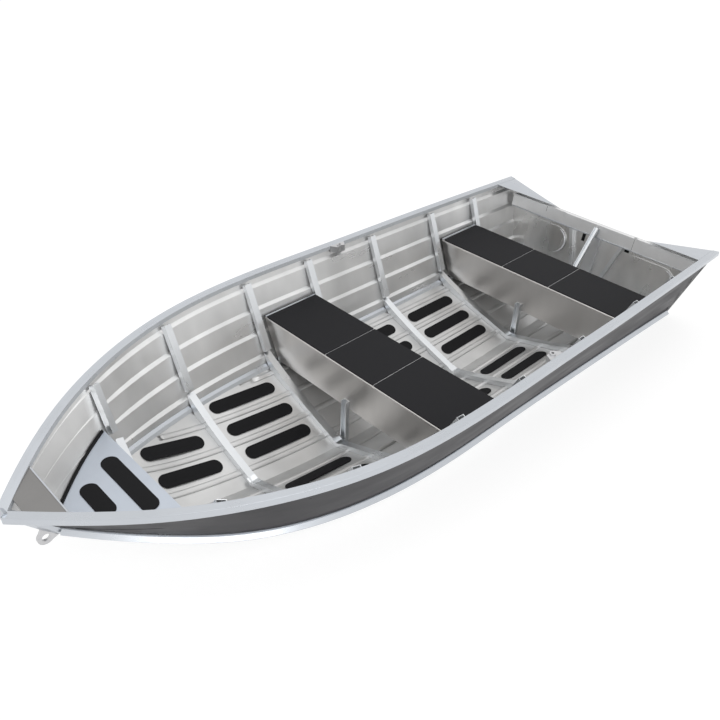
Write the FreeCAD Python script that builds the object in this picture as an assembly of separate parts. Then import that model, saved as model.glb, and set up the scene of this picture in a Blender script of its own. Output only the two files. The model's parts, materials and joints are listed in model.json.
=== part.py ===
import FreeCAD, Part
import math
import os
from FreeCAD import Vector

# Open aluminium rowing boat with pressed sides. Millimetres.
# X runs forward, Y to port and Z up. The origin lies on the waterline at mid length.

# Driving dimensions of the hull
hull_length = 3750.0
half_beam = 738.0
chine_half_breadth = 564.0
stern_freeboard = 458.0
sheer_rise = 74.5
chine_drop = 438.0
keel_drop = 582.0
side_thickness = 2.0
bottom_thickness = 3.0
joint_gap = 0.3
cut_overrun = 5.0
search_steps = 40

# Hull lines, station by station from the transom to the stem
station_shares = (0.0, 0.15, 0.30, 0.45, 0.60, 0.72, 0.83, 0.91, 0.96, 1.0)
sheer_breadth_shares = (0.976, 0.990, 0.998, 0.998, 0.994, 0.922, 0.720, 0.465, 0.242, 0.03)
sheer_height_shares = (0.0, 0.235, 0.435, 0.625, 0.825, 0.935, 1.0, 0.98, 0.93, 0.81)
chine_place_shares = (0.0208, 0.15, 0.30, 0.45, 0.60, 0.72, 0.817, 0.880, 0.921, 0.955)
chine_breadth_shares = (1.0, 0.976, 0.953, 0.940, 0.922, 0.818, 0.612, 0.388, 0.200, 0.022)
chine_depth_shares = (1.0, 0.970, 0.937, 0.900, 0.855, 0.770, 0.637, 0.487, 0.380, 0.285)
keel_place_shares = (0.0261, 0.15, 0.30, 0.45, 0.60, 0.72, 0.820, 0.883, 0.922, 0.9515)
keel_depth_shares = (0.945, 0.966, 0.988, 1.0, 0.983, 0.868, 0.713, 0.558, 0.412, 0.270)

# Pressed side planks
ledge_width = 17.0
ledge_drop = 11.0
plank_edge_shares = (0.13, 0.37, 0.62, 0.87)
ledge_fade_shares = (1.0, 1.0, 1.0, 1.0, 1.0, 1.0, 0.85, 0.12, 0.04, 0.01)

# Pressed grooves in the bottom
groove_pitch = 134.0
first_groove = 76.0
groove_width = 34.0
groove_floor = 18.0
groove_depth = 9.0
groove_start = 60.0
groove_spans = 8
groove_ends = (3330.0, 3190.0, 3010.0, 2480.0)

# Gunwale extrusion
gunwale_top = 35.0
gunwale_fall = 4.5
gunwale_nose = 3.0
gunwale_face = 30.0
gunwale_face_share = 0.8
gunwale_wall = 3.0
gunwale_lip = 26.0
gunwale_overhang = 18.0

# Chine extrusion
chine_lap = 20.0
chine_lap_shares = (0.5, 0.8, 1.0, 1.0, 1.0, 1.0, 1.2, 1.5, 1.5, 1.5)
chine_wing = 24.0
chine_wall = 4.0
chine_tip_share = 0.35
chine_bead = 9.0
bead_fade_breadth = 104.0
bead_crown_share = 0.35
sheet_setback = 6.0

# Keel and stem bars
keel_width = 34.0
keel_depth = 24.0
bar_foot_share = 0.33
stem_half_width = 17.0
stem_nose = 13.0
stem_root = 16.0
stem_spans = 5

# Ribs
rib_places = (3215.0, 2762.0, 2256.0, 1852.0, 1379.0, 872.0, 469.0)
rib_width = 38.0
rib_wall = 3.0
side_rib_depth = 26.0
floor_rib_depth = 26.0
rib_knee_height = 58.0
rib_joint_length = 70.0
rib_joint_rise = 5.0
rib_bend_share = 0.45
rib_sag_share = 0.32
rib_seat_gap = 1.1
rib_lean_limit = 0.5

# Thwarts, seen from the stern
thwart_fronts = (2208.0, 822.0)
thwart_depths = (334.0, 327.0)
thwart_drops = (139.0, 168.0)
thwart_height = 216.0
thwart_lip = 10.0
thwart_bend = 6.0
mat_thickness = 5.0
mat_gap = 4.0
mat_half_length = 603.0
mat_centre_length = 312.0
mat_inset = 3.0
mat_corner = 14.0
mat_notch = 6.0
bracket_height = 90.0
bracket_wall = 4.0
bracket_setback = 24.0
bracket_reach = 0.5
thwart_gap = 16.0
post_width = 34.0
post_depth = 22.0
post_wall = 3.0
post_lap = 44.0

# Non-slip floor pads
pad_width = 68.0
pad_thickness = 3.0
pad_rib_clearance = 66.0
pad_start_trim = 90.0
padded_bays = ((0, 2), (1, 3), (3, 3), (4, 3))

# Bow tray and breasthook
tray_rear = 3238.0
tray_front = 3560.0
tray_drop = 100.0
tray_wall = 4.0
tray_spans = 4
tray_gap = 10.0
tray_flange = 28.0
tray_lug_gap = 0.2
tray_pad_width = 68.0
tray_pad_lengths = (345.0, 190.0)
tray_pad_places = (3312.0, 3436.0)
hook_rear = 3610.0
hook_front = 3715.0
hook_drop = 6.0
hook_wall = 4.0
hook_lip = 12.0

# Bow eye
eye_drop = 112.0
eye_radius = 30.0
eye_hole_radius = 15.0
eye_thickness = 12.0
eye_reach = 22.0
eye_weld_share = 1.3

# Transom
transom_thickness = 4.0
transom_rim = 8.0
transom_dip = 88.0
transom_flat_half = 300.0
cap_half_length = 640.0
cap_height = 76.0
cap_depth = 38.0
knee_reach = 190.0
knee_wall = 4.0
knee_foot_inset = 30.0
panel_place = 372.0
panel_drop = 285.0
panel_length = 356.0
panel_height = 175.0
panel_press = 7.0
motor_pad_half = 215.0
motor_pad_height = 250.0
motor_pad_thickness = 14.0
motor_pad_top = 4.0
stiffener_width = 70.0
stiffener_depth = 24.0
side_stiffener_place = 180.0
side_stiffener_foot = 105.0
side_stiffener_width = 22.0
side_stiffener_rise = 60.0
stiffener_foot_gap = 76.0
brace_top = 73.0
brace_foot = 425.0
brace_width = 26.0
brace_depth = 20.0
brace_drop = 2.0
drain_rise = 42.0
drain_radius = 19.0
drain_bore_radius = 11.0
drain_length = 16.0

# Rowlock sockets
rowlock_place = 1629.0
rowlock_length = 96.0
rowlock_depth = 34.0
rowlock_height = 36.0
rowlock_bore_radius = 6.5
rowlock_boss_radius = 15.0
rowlock_boss_rise = 6.0
rowlock_boss_share = 0.8
rowlock_taper_share = 0.6

UP = Vector(0, 0, 1)
PORT = Vector(0, 1, 0)
AHEAD = Vector(1, 0, 0)
midship = hull_length / 2
transom_rake = chine_place_shares[0] * hull_length / chine_drop


def place(x, y, z):
    """A point given from the stern corner and the sheer there, in the boat's frame."""
    return Vector(x - midship, y, z + stern_freeboard)


def interpolated(points):
    """A smooth curve through one point per station, from the transom forward."""
    curve = Part.BSplineCurve()
    curve.interpolate(Points=points, Parameters=list(station_shares[:len(points)]))
    return curve


def interpolated_share(shares):
    """A smooth scalar along the hull, read by its station."""
    curve = interpolated([Vector(s, v, 0) for s, v in zip(station_shares, shares)])
    return lambda s: curve.value(s).y


sheer = interpolated([place(s * hull_length, b * half_beam, h * sheer_rise)
                      for s, b, h in zip(station_shares, sheer_breadth_shares, sheer_height_shares)])
chine = interpolated([place(p * hull_length, b * chine_half_breadth, -d * chine_drop)
                      for p, b, d in zip(chine_place_shares, chine_breadth_shares, chine_depth_shares)])
keel = interpolated([place(p * hull_length, 0, -d * keel_drop)
                     for p, d in zip(keel_place_shares, keel_depth_shares)])
ledge_fade = interpolated_share(ledge_fade_shares)


def unit(v):
    return v * (1 / v.Length)


def tangent(curve, s):
    return unit(Vector(*curve.tangent(s)[0]))


def sheer_inboard(s):
    """Level direction from the sheer towards the inside of the boat."""
    t = tangent(sheer, s)
    return unit(Vector(t.y, -t.x, 0))


def gunwale_under(reach):
    """Depth of the gunwale's top plate below the sheer, at a distance inboard of it."""
    return gunwale_wall + gunwale_fall * reach / gunwale_top


def side_top(s):
    """Outer top edge of the side sheet, inside the gunwale's slot."""
    reach = gunwale_overhang + joint_gap * 2
    drop = gunwale_under(reach + side_thickness) + joint_gap * 2
    return sheer.value(s) + sheer_inboard(s) * reach - UP * drop


def side_inboard(s):
    """Direction square to the side, towards the inside."""
    down = chine.value(s) - side_top(s)
    along = tangent(sheer, s) + tangent(chine, s)
    n = unit(along.cross(down))
    return n if n.y < 0 else n * -1


def bottom_inward(s):
    """Direction square to the bottom panel, towards the inside."""
    out = chine.value(s) - keel.value(s)
    along = tangent(keel, s) + tangent(chine, s)
    n = unit(along.cross(out))
    return n if n.z > 0 else n * -1


def side_outline(s):
    """Outer points of the side sheet at one station: planks and their ledges, top to chine."""
    top = side_top(s)
    foot = chine.value(s) + unit(top - chine.value(s)) * sheet_setback
    fade = ledge_fade(s)
    span = foot - top
    step_in = sheer_inboard(s) * (ledge_width * fade)
    step_down = Vector(span.x, 0, span.z) * (ledge_drop * fade / -span.z)
    count = len(plank_edge_shares)
    plank_span = span - (step_in + step_down) * count
    points = [top]
    for i, share in enumerate(plank_edge_shares):
        before = top + plank_span * share + (step_in + step_down) * i
        points += [before, before + step_in + step_down]
    return points + [foot]


def low_plank(s):
    """Direction up the lowest plank, and the direction square to it towards the inside."""
    points = side_outline(s)
    rise = unit(points[-2] - points[-1])
    n = unit(tangent(chine, s).cross(rise))
    return rise, n if n.y < 0 else n * -1


def edges_through(rows):
    """One smooth edge per column of station points."""
    return [interpolated(list(column)).toShape() for column in zip(*rows)]


def closed_solid(faces):
    skin = Part.makeCompound(faces)
    skin.sewShape()
    solid = Part.Solid(skin.Shells[0])
    if solid.Volume < 0:
        solid.reverse()
    return solid


def ruled_between(first, second):
    return Part.makeRuledSurface(first, second)


def end_strip(a, b, c, d):
    return ruled_between(Part.makeLine(a, b), Part.makeLine(c, d))


def sheet_solid(outer_rows, inner_rows):
    """A thin sheet between two families of smooth edges."""
    outer = edges_through(outer_rows)
    inner = edges_through(inner_rows)
    last = len(outer) - 1
    faces = [ruled_between(outer[i], outer[i + 1]) for i in range(last)]
    faces += [ruled_between(inner[i], inner[i + 1]) for i in range(last)]
    faces += [ruled_between(outer[i], inner[i]) for i in (0, last)]
    for row in (0, -1):
        o = outer_rows[row]
        n = inner_rows[row]
        faces += [end_strip(o[i], o[i + 1], n[i], n[i + 1]) for i in range(last)]
    return closed_solid(faces)


def bar_solid(rows):
    """A bar whose closed section has one smooth edge through each of its corners."""
    edges = edges_through(rows)
    faces = [ruled_between(edges[i - 1], edges[i]) for i in range(len(edges))]
    for row in (0, -1):
        ends = rows[row]
        if len(ends) == 4:
            faces.append(end_strip(ends[0], ends[1], ends[3], ends[2]))
        else:
            faces.append(Part.Face(Part.makePolygon(ends + [ends[0]])))
    return closed_solid(faces)


def mirrored(shape):
    return shape.mirror(Vector(0, 0, 0), PORT)


def largest(shape):
    return max(shape.Solids, key=lambda solid: solid.Volume)


def port_half(shape):
    """What lies on the port side of the centre line, clear of its mirror image."""
    keep = Part.makeBox(hull_length * 2, half_beam * 2, stern_freeboard * 4,
                        Vector(-hull_length, joint_gap / 2, -stern_freeboard))
    return largest(shape.common(keep))


def prism(points, along):
    """A flat outline pushed along a vector."""
    return Part.Face(Part.makePolygon(points + [points[0]])).extrude(along)


def box_between(x0, x1, y0, y1, z0, z1):
    box = Part.makeBox(x1 - x0, y1 - y0, z1 - z0)
    box.translate(place(x0, y0, z0))
    return box


def side_sheet():
    outer = [side_outline(s) for s in station_shares]
    inner = [[p + side_inboard(s) * side_thickness for p in row]
             for s, row in zip(station_shares, outer)]
    return port_half(sheet_solid(outer, inner))


def bottom_outline(s, lift):
    """Edge points of the bottom sheet at one station, centre line to chine."""
    out = chine.value(s) - keel.value(s)
    edge = chine.value(s) - unit(out) * sheet_setback + bottom_inward(s) * lift
    centre = keel.value(s) + bottom_inward(s) * lift
    centre -= out * (centre.y / out.y)
    return [centre, edge]


def station_of(x):
    """Station at which the chine passes a given distance from the stern."""
    low, high = 0.0, 1.0
    for i in range(search_steps):
        middle = (low + high) / 2
        if chine.value(middle).x + midship < x:
            low = middle
        else:
            high = middle
    return low


def groove_rows(y, start, end, grow):
    """Section points of one groove, following the bottom panel."""
    half = groove_width / 2 + grow
    floor_half = groove_floor / 2 + grow
    high = bottom_thickness + cut_overrun if grow == 0 else bottom_thickness / 2
    low = bottom_thickness - groove_depth if grow == 0 else -groove_depth
    rows = []
    for i in range(groove_spans + 1):
        s = station_of(start + (end - start) * i / groove_spans)
        out = chine.value(s) - keel.value(s)
        base = keel.value(s) + out * (y / out.y)
        across = unit(out)
        rim = base + bottom_inward(s) * high
        floor = base + bottom_inward(s) * low
        rows.append([rim - across * half, floor - across * floor_half,
                     floor + across * floor_half, rim + across * half])
    return rows


def loft(rows):
    wires = [Part.makePolygon(row + [row[0]]) for row in rows]
    return Part.makeLoft(wires, True, len(rows) < 3)


def bottom_sheet():
    outer = [bottom_outline(s, 0) for s in station_shares]
    inner = [bottom_outline(s, bottom_thickness) for s in station_shares]
    sheet = sheet_solid(outer, inner)
    for i, end in enumerate(groove_ends):
        y = first_groove + groove_pitch * i
        start = groove_start + hull_length * chine_place_shares[0]
        trough = loft(groove_rows(y, start, end, bottom_thickness))
        hollow = loft(groove_rows(y, start + bottom_thickness, end - bottom_thickness, 0))
        sheet = sheet.fuse(trough).cut(hollow)
    return largest(sheet)


def gunwale():
    """The rail along the sheer, in two lengths that meet under the rowlock."""
    rows = []
    for s in station_shares:
        edge = sheer.value(s)
        side = sheer_inboard(s)
        inside = gunwale_top - gunwale_wall
        profile = ((0, 0), (-gunwale_nose, -gunwale_nose * 2),
                   (-gunwale_nose, -gunwale_face * gunwale_face_share), (0, -gunwale_face),
                   (gunwale_overhang, -gunwale_face), (gunwale_overhang, -gunwale_under(gunwale_overhang)),
                   (inside, -gunwale_under(inside)), (inside, -gunwale_lip),
                   (gunwale_top, -gunwale_lip), (gunwale_top, -gunwale_fall))
        rows.append([edge + side * a + UP * b for a, b in profile])
    rail = port_half(bar_solid(rows))
    seam = box_between(rowlock_place - joint_gap / 2, rowlock_place + joint_gap / 2, 0, half_beam * 2,
                       -gunwale_face * 2, sheer_rise * 2)
    return rail.cut(seam)


def chine_bar():
    """The extrusion that laps the side sheet and the bottom sheet along their corner."""
    rows = []
    for s, lap_share in zip(station_shares, chine_lap_shares):
        corner = chine.value(s)
        lap = chine_lap * lap_share
        along = tangent(chine, s)
        up_side = low_plank(s)[0]
        up_side = unit(up_side - along * up_side.dot(along))
        down_bottom = keel.value(s) - corner
        down_bottom = unit(down_bottom - along * down_bottom.dot(along))
        off_side = up_side.cross(along)
        off_side = unit(off_side if off_side.y > 0 else off_side * -1)
        off_bottom = down_bottom.cross(along)
        off_bottom = unit(off_bottom if off_bottom.z < 0 else off_bottom * -1)
        tip = unit(off_side + off_bottom * chine_tip_share)
        rows.append([corner + up_side * lap,
                     corner + up_side * lap + off_side * chine_wall,
                     corner + up_side * chine_wall * 2 + off_side * chine_wall,
                     corner + tip * chine_wing + up_side * chine_wall,
                     corner + tip * chine_wing,
                     corner + down_bottom * chine_wall + off_bottom * chine_wall,
                     corner + down_bottom * chine_lap + off_bottom * chine_wall,
                     corner + down_bottom * chine_lap, corner])
        rows[-1] = [p + (off_side + off_bottom) * joint_gap for p in rows[-1]]
    return port_half(bar_solid(rows))


def chine_inner_bead():
    """Rounded bead inside the boat, where the side sheet meets the bottom sheet."""
    rows = []
    for s in station_shares[:-2]:
        corner = chine.value(s)
        rise, side = low_plank(s)
        up = bottom_inward(s)
        inward = unit(keel.value(s) - corner)
        fade = min(1.0, corner.y / bead_fade_breadth)
        foot = corner + inward * (sheet_setback + chine_bead * fade) + up * (bottom_thickness + joint_gap)
        head = corner + rise * (sheet_setback + chine_bead * 2 * fade) + side * (side_thickness + joint_gap)
        crown = (foot + head) * 0.5 + (side + up) * (chine_bead * bead_crown_share * fade)
        off_sheets = side * (side_thickness + joint_gap) + up * (bottom_thickness + joint_gap)
        root = corner + rise * sheet_setback + off_sheets
        rows.append([root, foot, crown, head])
    return bar_solid(rows)


def keel_point(s, y):
    out = chine.value(s) - keel.value(s)
    return keel.value(s) + out * (y / out.y)


def keel_bar():
    rows = []
    half = keel_width / 2
    foot_half = PORT * (half * bar_foot_share)
    for s in station_shares[:-2]:
        centre = keel.value(s)
        slope = tangent(keel, s)
        spot = keel_point(s, half)
        edge = Vector(centre.x, half, spot.z + (centre.x - spot.x) * slope.z / slope.x - joint_gap)
        other = Vector(centre.x, -half, edge.z)
        foot = centre - UP * keel_depth
        rows.append([centre - UP * joint_gap, edge, edge - UP * chine_wall,
                     foot + foot_half + UP * chine_wall, foot + foot_half,
                     foot - foot_half, foot - foot_half + UP * chine_wall,
                     other - UP * chine_wall, other])
    return bar_solid(rows)


def stem_curve():
    """The boat's outline on the centre line, from the end of the keel up to the bow tip."""
    start = station_shares[len(station_shares) - 3]
    forefoot = keel.value(start)
    heel = keel.value(1.0)
    head = sheer.value(1.0)
    head = Vector(head.x, 0, head.z - gunwale_wall)
    middle = keel.value((1 + start) / 2)
    curve = Part.BSplineCurve()
    curve.interpolate([forefoot, middle, heel, (heel + head) * 0.5, head])
    return curve


def stem_spot(curve, share):
    """A point along the stem's curve, with the directions along it and out of the hull."""
    t = curve.FirstParameter + (curve.LastParameter - curve.FirstParameter) * share
    along = tangent(curve, t)
    out = unit(along.cross(PORT))
    return curve.value(t), along, out if out.x > 0 else out * -1


def stem_bar():
    """Nose bar that closes the two sides along the stem's curve."""
    curve = stem_curve()
    rows = []
    for i in range(stem_spans + 1):
        point, along, out = stem_spot(curve, i / stem_spans)
        rows.append([point - out * stem_root + PORT * stem_half_width, point + PORT * stem_half_width,
                     point + out * stem_nose + PORT * (stem_half_width * bar_foot_share),
                     point + out * stem_nose - PORT * (stem_half_width * bar_foot_share),
                     point - PORT * stem_half_width, point - out * stem_root - PORT * stem_half_width])
    return loft(rows)


def channel(start, end, width_along, open_side, width, depth, wall):
    """A straight channel, open on one side, from start to end."""
    along = unit(end - start)
    across = unit(width_along - along * width_along.dot(along))
    opening = unit(open_side - along * open_side.dot(along))

    def block(half, near, far):
        corners = [start + across * half + opening * near, start - across * half + opening * near,
                   start - across * half + opening * far, start + across * half + opening * far]
        return prism(corners, end - start)

    outside = block(width / 2, -depth, 0)
    inside = block(width / 2 - wall, wall - depth, cut_overrun)
    return outside.cut(inside)


def side_stand_off(s):
    """How far the ledges reach inside the straight line from the sheer to the chine."""
    top = side_top(s)
    n = side_inboard(s)
    return max((p - top).dot(n) for p in side_outline(s)) + side_thickness + rib_seat_gap


def side_rib(x):
    """A channel up the side from the chine at a given place to the gunwale straight above it."""
    s = x / hull_length
    foot = station_of(x)
    inboard = side_inboard(s)
    n = inboard * side_stand_off(s)
    top = side_top(s)
    corner = chine.value(foot)
    down = unit(corner - top)
    drop = max(gunwale_face, gunwale_lip + (gunwale_top - gunwale_overhang) * inboard.z) + rib_seat_gap
    start = top + down * drop + n
    rise = rib_knee_height / max(abs(down.dot(bottom_inward(foot))), rib_lean_limit)
    end = corner - down * (rise + bottom_thickness + joint_gap * 2) + n
    return channel(start, end, tangent(chine, foot), n * -1, rib_width, side_rib_depth, rib_wall)


def floor_rib_half(x, width, inset):
    """One half of a floor rib, with its top curved up to meet the side rib."""
    s = station_of(x)
    origin = keel.value(s)
    corner = chine.value(s)
    out = unit(corner - origin)
    up = bottom_inward(s)
    span = (corner - origin).Length
    rise = unit(side_top(s) - corner)
    lean = rise.dot(out) / max(rise.dot(up), rib_lean_limit)
    run = tangent(chine, s)
    stand = side_stand_off(s) + inset - run.y / run.x * rib_width / 2
    beside = [keel_point(s + side * rib_width / hull_length, corner.y * share)
              for side in (-1, 1) for share in (0, rib_bend_share, 1)]
    lift = max((point - origin).dot(up) for point in beside)
    low = bottom_thickness + joint_gap + lift - (cut_overrun if inset else 0)
    clear = chine_bead * 2 + sheet_setback * 2
    foot_end = span - stand + lean * low
    knee_end = span - stand + lean * (rib_knee_height - inset)
    centre_height = bottom_thickness + floor_rib_depth - inset
    knee_height = bottom_thickness + rib_knee_height - inset

    def at(u, v):
        return origin + out * u + up * v

    start = inset + joint_gap
    bend = span * rib_bend_share
    sag_height = centre_height + (knee_height - centre_height) * rib_sag_share
    top_curve = Part.Arc(at(bend, centre_height), at((bend + knee_end) / 2, sag_height),
                         at(knee_end, knee_height)).toShape()
    toe = at(foot_end - clear, low)
    heel = at(foot_end + lean * clear, low + clear)
    outline = Part.Wire([Part.makeLine(at(start, low), toe), Part.makeLine(toe, heel),
                         Part.makeLine(heel, at(knee_end, knee_height)), top_curve,
                         Part.makeLine(at(bend, centre_height), at(start, centre_height)),
                         Part.makeLine(at(start, centre_height), at(start, low))])
    across = unit(out.cross(up))
    outline.translate(across * (-width / 2))
    return Part.Face(outline).extrude(across * width)


def floor_rib(x):
    """A floor rib from chine to chine: two curved channels joined over the keel."""
    outer = floor_rib_half(x, rib_width, 0)
    inner = floor_rib_half(x, rib_width - rib_wall * 2, rib_wall)
    half = outer.cut(inner)
    s = station_of(x)
    centre = keel.value(s)
    out = unit(chine.value(s) - centre)
    up = bottom_inward(s)
    reach = rib_joint_length / 2
    top = bottom_thickness + floor_rib_depth
    low = top - rib_wall
    height = UP * rib_joint_rise
    wing = centre + out * reach + up * low
    wing = Vector(centre.x, wing.y, wing.z)
    middle = centre + UP * (low / up.z)
    saddle = [Vector(wing.x, -wing.y, wing.z), middle, wing, wing + height, middle + height,
              Vector(wing.x, -wing.y, wing.z) + height]
    cap = prism([p - AHEAD * (rib_width / 2 + rib_wall) for p in saddle], AHEAD * (rib_width + rib_wall * 2))
    return half.fuse(mirrored(half)).fuse(cap)


def side_spot(s, level):
    """Point of the straight line from the sheer to the chine at a height of the boat's frame."""
    top = side_top(s)
    corner = chine.value(s)
    return top + (corner - top) * ((top.z - level) / (top.z - corner.z))


def inner_half_breadth(x, z):
    """Clear half breadth inside the planks at a place and height from the stern sheer."""
    level = z + stern_freeboard
    low, high = 0.0, 1.0
    for i in range(search_steps):
        middle = (low + high) / 2
        if side_spot(middle, level).x + midship < x:
            low = middle
        else:
            high = middle
    n = side_inboard(low)
    return side_spot(low, level).y + side_stand_off(low) / n.y


def thwart(index):
    """A box seat whose ends follow the sides of the hull."""
    front = thwart_fronts[index]
    rear = front - thwart_depths[index]
    top = -thwart_drops[index]
    foot = top - thwart_height
    top_half = min(inner_half_breadth(x, top) for x in (front, rear)) - thwart_gap
    foot_half = min(inner_half_breadth(x, foot) for x in (front, rear)) - thwart_gap
    ends = [place(rear, -top_half, top), place(rear, top_half, top), place(rear, foot_half, foot),
            place(rear, -foot_half, foot)]
    box = prism(ends, AHEAD * thwart_depths[index])
    level = top + stern_freeboard
    rims = [e for e in box.Edges if all(abs(v.Z - level) < joint_gap for v in e.Vertexes)
            and abs(e.Vertexes[0].X - e.Vertexes[1].X) < joint_gap]
    return box.makeFillet(thwart_bend, rims), top_half, foot_half


def rounded_plate(x0, x1, y0, y1, z, thickness, radii):
    """A flat mat with its own radius at each corner, starting at low x and low y."""
    ends = [(x0, y0), (x1, y0), (x1, y1), (x0, y1)]
    pieces = []
    before = []
    for i, (x, y) in enumerate(ends):
        sx = 1 if x == x0 else -1
        sy = 1 if y == y0 else -1
        r = radii[i]
        slant = r * (1 - math.sqrt(0.5))
        first = Vector(x, y + sy * r, 0) if i % 2 == 0 else Vector(x + sx * r, y, 0)
        last = Vector(x + sx * r, y, 0) if i % 2 == 0 else Vector(x, y + sy * r, 0)
        before.append((first, Vector(x + sx * slant, y + sy * slant, 0), last))
    for i, (first, middle, last) in enumerate(before):
        pieces.append(Part.Arc(first, middle, last).toShape())
        following = before[(i + 1) % len(before)][0]
        pieces.append(Part.makeLine(last, following))
    plate = Part.Face(Part.Wire(Part.__sortEdges__(pieces))).extrude(UP * thickness)
    plate.translate(place(0, 0, z))
    return plate


def thwart_mats(index):
    """Three mats in a row along the seat, the outer two with rounded outer corners."""
    front = thwart_fronts[index] - mat_inset
    rear = thwart_fronts[index] - thwart_depths[index] + mat_inset
    z = joint_gap - thwart_drops[index]
    half = mat_centre_length / 2
    mats = [rounded_plate(rear, front, -half, half, z, mat_thickness, [mat_notch] * 4)]
    outer = rounded_plate(rear, front, half + mat_gap, mat_half_length, z, mat_thickness,
                          [mat_notch, mat_notch, mat_corner, mat_corner])
    return Part.makeCompound(mats + [outer, mirrored(outer)])


def thwart_brackets(index, top_half, foot_half):
    """Plates at both ends of a seat that tie it to the side planks."""
    front = thwart_fronts[index]
    depth = thwart_depths[index]
    top = -thwart_drops[index]
    x0 = front - depth + bracket_setback
    x1 = front - bracket_setback
    lean = (top_half - foot_half) / thwart_height
    high = top - thwart_lip
    low = high - bracket_wall
    upper = top_half - lean * thwart_lip + joint_gap
    lower = top_half - lean * (thwart_lip + bracket_height) + joint_gap
    corners = [place(x0, upper, low), place(x1, upper, low),
               place(x1, inner_half_breadth(x1, low) + bracket_reach, low),
               place(x0, inner_half_breadth(x0, low) + bracket_reach, low)]
    plate = prism(corners, UP * bracket_wall)
    web = prism([place(x0, upper, high), place(x0, upper + bracket_wall, high),
                 place(x0, lower + bracket_wall, high - bracket_height),
                 place(x0, lower, high - bracket_height)], AHEAD * (x1 - x0))
    return plate.fuse(web)


def thwart_post(index):
    """A channel post that stands on the floor beside a rib and is lapped to the front of the seat."""
    front = thwart_fronts[index] + joint_gap + post_depth
    spot = bottom_spot(front / hull_length, post_width / 2)
    foot = Vector(front - midship, 0, spot.z + joint_gap * 2)
    head = place(front, 0, post_lap - thwart_drops[index] - thwart_height)
    return channel(foot, head, PORT, AHEAD, post_width, post_depth, post_wall)


def floor_pads():
    """Rounded rubber pads between the grooves, bay by bay, on both sides."""
    pads = []
    for bay, count in padded_bays:
        ahead = rib_places[bay]
        behind = rib_places[bay + 1]
        for lane in range(count):
            y = first_groove + groove_pitch * (lane + 0.5)
            start = behind + pad_rib_clearance
            end = ahead - (pad_start_trim if bay == 0 else pad_rib_clearance)
            pads.append(floor_pad(y, start, end))
    pads += [mirrored(pad) for pad in pads]
    return Part.makeCompound(pads)


def floor_pad(y, start, end):
    """One pad laid on the bottom panel along a line of constant breadth."""
    s0 = station_of(start)
    s1 = station_of(end)
    low = bottom_spot(s0, y)
    high = bottom_spot(s1, y)
    up = unit(bottom_inward(s0) + bottom_inward(s1))
    along = unit(high - low)
    across = unit(up.cross(along))
    up = along.cross(across)
    half = pad_width / 2
    length = (high - low).Length
    straight = (station_of(start + half), (s0 + s1) / 2, station_of(end - half))
    under = [bottom_spot(s, y + side) for s in straight for side in (-half, 0, half)]
    under += [low, high]
    base = low + up * (joint_gap + max((spot - low).dot(up) for spot in under))

    def at(u, v):
        return base + along * u + across * v

    outline = Part.Wire([Part.makeLine(at(half, half), at(length - half, half)),
                         Part.Arc(at(length - half, half), at(length, 0), at(length - half, -half)).toShape(),
                         Part.makeLine(at(length - half, -half), at(half, -half)),
                         Part.Arc(at(half, -half), at(0, 0), at(half, half)).toShape()])
    return Part.Face(outline).extrude(up * pad_thickness)


def bottom_spot(s, y):
    """Point on the inner face of the bottom sheet at a given breadth."""
    return keel_point(s, y) + bottom_inward(s) * bottom_thickness


def tray_half(x):
    return inner_half_breadth(x, -tray_drop) - tray_gap


def bow_tray():
    """A level plate across the bow with a turned-down rear edge and side lugs."""
    xs = [tray_rear + (tray_front - tray_rear) * i / tray_spans for i in range(tray_spans + 1)]
    port = [place(x, tray_half(x), -tray_drop) for x in xs]
    starboard = [Vector(p.x, -p.y, p.z) for p in reversed(port)]
    rear_half = tray_half(tray_rear)
    side = Part.BSplineCurve()
    side.interpolate(port)
    other = Part.BSplineCurve()
    other.interpolate(starboard)
    outline = Part.Wire([side.toShape(), Part.makeLine(port[-1], starboard[0]), other.toShape(),
                         Part.makeLine(starboard[-1], port[0])])
    plate = Part.Face(outline).extrude(UP * -tray_wall)
    rim_half = rear_half - tray_flange
    rim = box_between(tray_rear, tray_rear + tray_wall, -rim_half, rim_half, -tray_drop - tray_flange,
                      -tray_drop - tray_wall / 2)
    return plate.fuse(rim)


def tray_brackets():
    """Short angle lugs that carry the bow tray from the side planks."""
    lugs = []
    z = -tray_drop - tray_wall - joint_gap
    for x in (tray_rear + tray_flange, (tray_rear + tray_front) / 2):
        ends = [(x, inner_half_breadth(x, z) - tray_lug_gap),
                (x + tray_flange, inner_half_breadth(x + tray_flange, z) - tray_lug_gap),
                (x + tray_flange, tray_half(x) - tray_flange), (x, tray_half(x) - tray_flange)]
        lugs.append(prism([place(a, b, z) for a, b in ends], UP * -tray_wall))
    return Part.makeCompound(lugs + [mirrored(lug) for lug in lugs])


def tray_pads():
    pads = []
    half = tray_pad_width / 2
    for x, length in zip(tray_pad_places, tray_pad_lengths):
        straight = length / 2 - half
        base = place(x, 0, joint_gap - tray_drop)
        corners = [base + Vector(a * half, b * straight, 0) for a, b in ((1, -1), (1, 1), (-1, 1), (-1, -1))]
        tips = [base + PORT * (straight + half), base - PORT * (straight + half)]
        outline = Part.Wire([Part.makeLine(corners[0], corners[1]),
                             Part.Arc(corners[1], tips[0], corners[2]).toShape(),
                             Part.makeLine(corners[2], corners[3]),
                             Part.Arc(corners[3], tips[1], corners[0]).toShape()])
        pads.append(Part.Face(outline).extrude(UP * pad_thickness))
    return Part.makeCompound(pads)


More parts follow.
